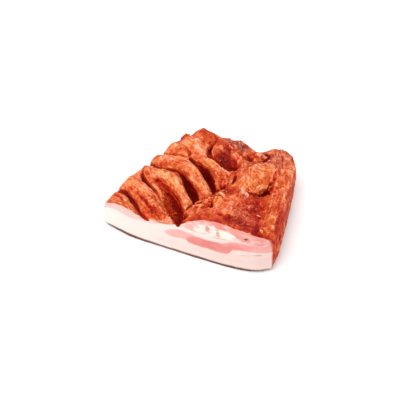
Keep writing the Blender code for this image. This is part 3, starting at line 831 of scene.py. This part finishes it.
def smoked_pork():
    """Smoked pork belly. The crust is lean dried and browned by smoke: rough and fibrous, with painted highlights on
    its crests and painted shade that darkens it to deep red in the rib beds, and a slight gloss of fat. The cut was
    made with a knife after the smoking, and shows pale fat and pink cured lean, moist and smooth. The rind is a thin
    brown skin.
    """
    material = bpy.data.materials.new("smoked_pork_belly")
    material.use_nodes = True
    tree = material.node_tree
    shader = tree.nodes["Principled BSDF"]
    place = add(tree, "ShaderNodeTexCoord").outputs["Object"]

    told = ("tone_and_painted_light", "tan_and_highlight", "threaded", "smoke_grey", "behind_cut", "rind")
    told = {name: add(tree, "ShaderNodeAttribute", attribute_name=name).outputs["Fac"] for name in told}

    # Smoked crust: fibres 2.4 mm wide and 14 mm long, blotches of 8 mm, crumbs of 3.2 mm and specks of 1.5 mm.
    grain = add(tree, "ShaderNodeAttribute", attribute_name="grain").outputs["Vector"]
    stretched = add(tree, "ShaderNodeMapping", {"Vector": grain, "Scale": (1, 0.17, 0.5)})
    strands = {"Vector": stretched, "Scale": 1 / (2.4 * MM), "Detail": 4.0, "Distortion": 0.5}
    strands = add(tree, "ShaderNodeTexNoise", strands)
    blotches = add(tree, "ShaderNodeTexNoise", {"Vector": place, "Scale": 1 / (8 * MM), "Detail": 5.0})
    crumbs = add(tree, "ShaderNodeTexNoise", {"Vector": place, "Scale": 1 / (3.2 * MM), "Detail": 3.0})
    specks = add(tree, "ShaderNodeTexNoise", {"Vector": place, "Scale": 1 / (1.5 * MM), "Detail": 2.0})
    # The crust's value from dark to pale carries painted shade in rib beds and creases and painted highlights on
    # crests.
    tone_and_painted_light = told["tone_and_painted_light"]
    for pattern, strength in ((strands, 0.5), (blotches, 0.5), (crumbs, 0.45), (specks, 0.3)):
        even = add(tree, "ShaderNodeMath", {0: pattern, 1: 0.5}, operation="SUBTRACT")
        tone_and_painted_light = add(tree, "ShaderNodeMath", {0: even, 1: strength, 2: tone_and_painted_light}, operation="MULTIPLY_ADD")
    # Pale threads of torn skin, 0.4 mm thick, lie tangled on the hollows, about 6 mm apart.
    tangle = {"Vector": place, "Scale": 1 / (6 * MM), "Detail": 1.0, "Distortion": 1.6}
    tangle = add(tree, "ShaderNodeTexNoise", tangle)
    tangle = add(tree, "ShaderNodeMath", {0: tangle, 1: 0.5}, operation="SUBTRACT")
    tangle = add(tree, "ShaderNodeMath", {0: tangle}, operation="ABSOLUTE")
    tangle = add(tree, "ShaderNodeMapRange", {0: tangle, 1: 0.012, 2: 0.05, 3: 0.34, 4: 0.0})
    tone_and_painted_light = add(tree, "ShaderNodeMath", {0: tangle, 1: told["threaded"], 2: tone_and_painted_light}, operation="MULTIPLY_ADD")
    tan_crust = add(tree, "ShaderNodeValToRGB", {"Fac": tone_and_painted_light}, TAN_CRUST_SCALE)
    red_crust = add(tree, "ShaderNodeValToRGB", {"Fac": tone_and_painted_light}, RED_CRUST_SCALE)
    crust = add(tree, "ShaderNodeMix", {0: told["tan_and_highlight"], 6: red_crust, 7: tan_crust}, data_type="RGBA")
    grey_smoke = add(tree, "ShaderNodeValToRGB", {"Fac": tone_and_painted_light}, GREY_SMOKE_SCALE)
    smokiness = add(tree, "ShaderNodeMath", {0: told["smoke_grey"], 1: 0.75}, operation="MULTIPLY")
    crust = add(tree, "ShaderNodeMix", {0: smokiness, 6: crust, 7: grey_smoke}, data_type="RGBA")

    # Rind: a skin that varies over 8 mm.
    skin = add(tree, "ShaderNodeTexNoise", {"Vector": place, "Scale": 1 / (8 * MM), "Detail": 6.0, "Roughness": 0.7})
    rind = add(tree, "ShaderNodeValToRGB", {"Fac": skin}, RIND_SCALE)

    on_cut = {0: told["behind_cut"], 1: 0.9, 2: 1.6, 3: 1.0, 4: 0.0}
    on_cut = add(tree, "ShaderNodeMapRange", on_cut, interpolation_type="SMOOTHSTEP")
    colour = add(tree, "ShaderNodeMix", {0: on_cut, 6: crust, 7: cut_face(tree, place)}, data_type="RGBA")
    colour = add(tree, "ShaderNodeMix", {0: told["rind"], 6: colour, 7: rind}, data_type="RGBA")
    tree.links.new(colour.outputs[2], shader.inputs["Base Color"])

    # Fatty fibres are a little glossier than the dry smoke between them, and the cut is moist.
    roughness = add(tree, "ShaderNodeMapRange", {0: strands, 1: 0.3, 2: 0.7, 3: 0.65, 4: 0.48})
    roughness = add(tree, "ShaderNodeMix", {0: on_cut, 2: roughness, 3: 0.42})
    tree.links.new(roughness.outputs[0], shader.inputs["Roughness"])

    height = add(tree, "ShaderNodeMath", {0: strands, 1: 1.3, 2: specks}, operation="MULTIPLY_ADD")
    depth = add(tree, "ShaderNodeMapRange", {0: on_cut, 1: 0.0, 2: 1.0, 3: 0.8, 4: 0.06})
    bump = add(tree, "ShaderNodeBump", {"Height": height, "Strength": depth, "Distance": 0.8 * MM})
    tree.links.new(bump.outputs[0], shader.inputs["Normal"])
    shader.inputs["IOR"].default_value = 1.45
    shader.inputs["Specular IOR Level"].default_value = 0.12
    shader.inputs["Subsurface Weight"].default_value = 0.05
    shader.inputs["Subsurface Radius"].default_value = (1.0, 0.35, 0.2)
    shader.inputs["Subsurface Scale"].default_value = 3 * MM
    return material


def cut_face(tree, place):
    """The cut's colours, as a node: white fat on the left, and lean in layers on the right."""
    axes = add(tree, "ShaderNodeSeparateXYZ", {"Vector": place}).outputs
    from_left = add(tree, "ShaderNodeMath", {0: axes["X"], 1: from_slab(0, 0).x}, operation="SUBTRACT")
    across = add(tree, "ShaderNodeMath", {0: from_left, 1: CUT_WIDTH * MM}, operation="DIVIDE")
    height = add(tree, "ShaderNodeMath", {0: axes["Z"], 1: 1 / MM}, operation="MULTIPLY")
    # Layers run along the cut, so their noise is three times as long as it is high.
    layered = add(tree, "ShaderNodeMapping", {"Vector": place, "Scale": (0.35, 0.35, 1)})
    sway = {"Vector": layered, "Scale": 1 / (5 * MM), "Detail": 6.0, "Roughness": 0.62}
    sway = add(tree, "ShaderNodeTexNoise", sway)
    sway = add(tree, "ShaderNodeMath", {0: sway, 1: 0.5}, operation="SUBTRACT")
    mottled = {"Vector": layered, "W": 3.0, "Scale": 1 / (4.5 * MM), "Detail": 5.0}
    mottle = add(tree, "ShaderNodeTexNoise", mottled, noise_dimensions="4D")

    look = add(tree, "ShaderNodeValToRGB", {"Fac": across}, FAT_SCALE)
    for colours, foot, top, soft, wander, strength, breaks in CUT_LAYERS:
        share = strength
        level = add(tree, "ShaderNodeMath", {0: sway, 1: wander, 2: height}, operation="MULTIPLY_ADD")
        for line, side in ((foot, 1), (top, -1)):
            curve = add(tree, "ShaderNodeFloatCurve", {"Value": across})
            points = curve.mapping.curves[0].points
            for _ in line[2:]:
                points.new(0.5, 0.5)
            for point, (x, z) in zip(points, line):
                point.location = min(max(x / CUT_WIDTH, 0), 1), z / CUT_HEIGHT
            curve.mapping.update()
            edge = add(tree, "ShaderNodeMath", {0: curve, 1: CUT_HEIGHT}, operation="MULTIPLY")
            inside = add(tree, "ShaderNodeMath", {0: level, 1: edge}, operation="SUBTRACT")
            inside = {0: inside, 1: -soft * side, 2: soft * side}
            inside = add(tree, "ShaderNodeMapRange", inside, interpolation_type="SMOOTHSTEP")
            share = add(tree, "ShaderNodeMath", {0: inside, 1: share}, operation="MULTIPLY")
        whole = add(tree, "ShaderNodeMapRange", {0: mottle, 1: breaks[0], 2: breaks[1], 3: 1.0, 4: breaks[2]})
        share = add(tree, "ShaderNodeMath", {0: share, 1: whole}, operation="MULTIPLY")
        colour = add(tree, "ShaderNodeValToRGB", {"Fac": across}, colours)
        look = add(tree, "ShaderNodeMix", {0: share, 6: look, 7: colour}, data_type="RGBA")

    here = add(tree, "ShaderNodeCombineXYZ", {0: axes["X"], 2: axes["Z"]})
    for centre, radii, turn, colour, soft, strength in CUT_SPOTS:
        middle = from_slab(centre[0], 0, centre[1] * MM)
        oval = {"Vector": here, "Location": (middle.x, 0, middle.z), "Rotation": (0, -math.radians(turn), 0)}
        oval["Scale"] = (radii[0] * MM, 1, radii[1] * MM)
        oval = add(tree, "ShaderNodeMapping", oval, vector_type="TEXTURE")
        size = add(tree, "ShaderNodeVectorMath", {0: oval}, operation="LENGTH").outputs["Value"]
        size = add(tree, "ShaderNodeMath", {0: sway, 1: 4 * soft, 2: size}, operation="MULTIPLY_ADD")
        share = {0: size, 1: 1 - soft, 2: 1 + soft, 3: strength, 4: 0.0}
        share = add(tree, "ShaderNodeMapRange", share, interpolation_type="SMOOTHSTEP")
        look = add(tree, "ShaderNodeMix", {0: share, 6: look, 7: linear(colour)}, data_type="RGBA")
    return look


# ---- floor, light, view ----


def studio():
    """A floor of matt white paper under soft light, and the camera."""
    scene = bpy.context.scene
    scene.view_settings.view_transform = "Standard"
    floor_mesh = bpy.data.meshes.new("floor")
    plane = bmesh.new()
    bmesh.ops.create_grid(plane, x_segments=1, y_segments=1, size=FLOOR_HALF_WIDTH)
    plane.to_mesh(floor_mesh)
    plane.free()
    floor = new_object("floor", floor_mesh)
    paper = bpy.data.materials.new("white_paper")
    paper.use_nodes = True
    finish = paper.node_tree.nodes["Principled BSDF"].inputs
    finish["Base Color"].default_value = linear("#F0F0F0")
    finish["Roughness"].default_value = 1.0
    finish["Specular IOR Level"].default_value = 0.0
    floor_mesh.materials.append(paper)

    world = bpy.data.worlds.new("studio")
    scene.world = world
    world.use_nodes = True
    sky = world.node_tree.nodes["Background"].inputs
    sky["Color"].default_value = (1, 1, 1, 1)
    sky["Strength"].default_value = SKY_STRENGTH

    light = bpy.data.lights.new("key", "AREA")
    light.size = LAMP_SIZE
    light.energy = LAMP_POWER
    lamp = new_object("key", light)
    lamp.location = LAMP_PLACE
    lamp.rotation_euler = Vector(LAMP_PLACE).to_track_quat("Z", "Y").to_euler()

    eye = bpy.data.cameras.new("camera")
    eye.sensor_width = SENSOR_WIDTH
    eye.lens = LENS
    camera = new_object("camera", eye)
    azimuth, elevation = math.radians(CAMERA_AZIMUTH), math.radians(CAMERA_ELEVATION)
    level = math.cos(elevation)
    back = Vector((math.sin(azimuth) * level, -math.cos(azimuth) * level, math.sin(elevation)))
    camera.location = from_slab(*CAMERA_TARGET, CAMERA_TARGET_HEIGHT) + back * CAMERA_DISTANCE
    camera.rotation_euler = back.to_track_quat("Z", "Y").to_euler()
    scene.camera = camera


def main():
    slab = fine_slab()
    slab.data.materials.clear()
    slab.data.materials.append(smoked_pork())
    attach(slab, "root")
    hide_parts(SLAB)
    studio()


main()
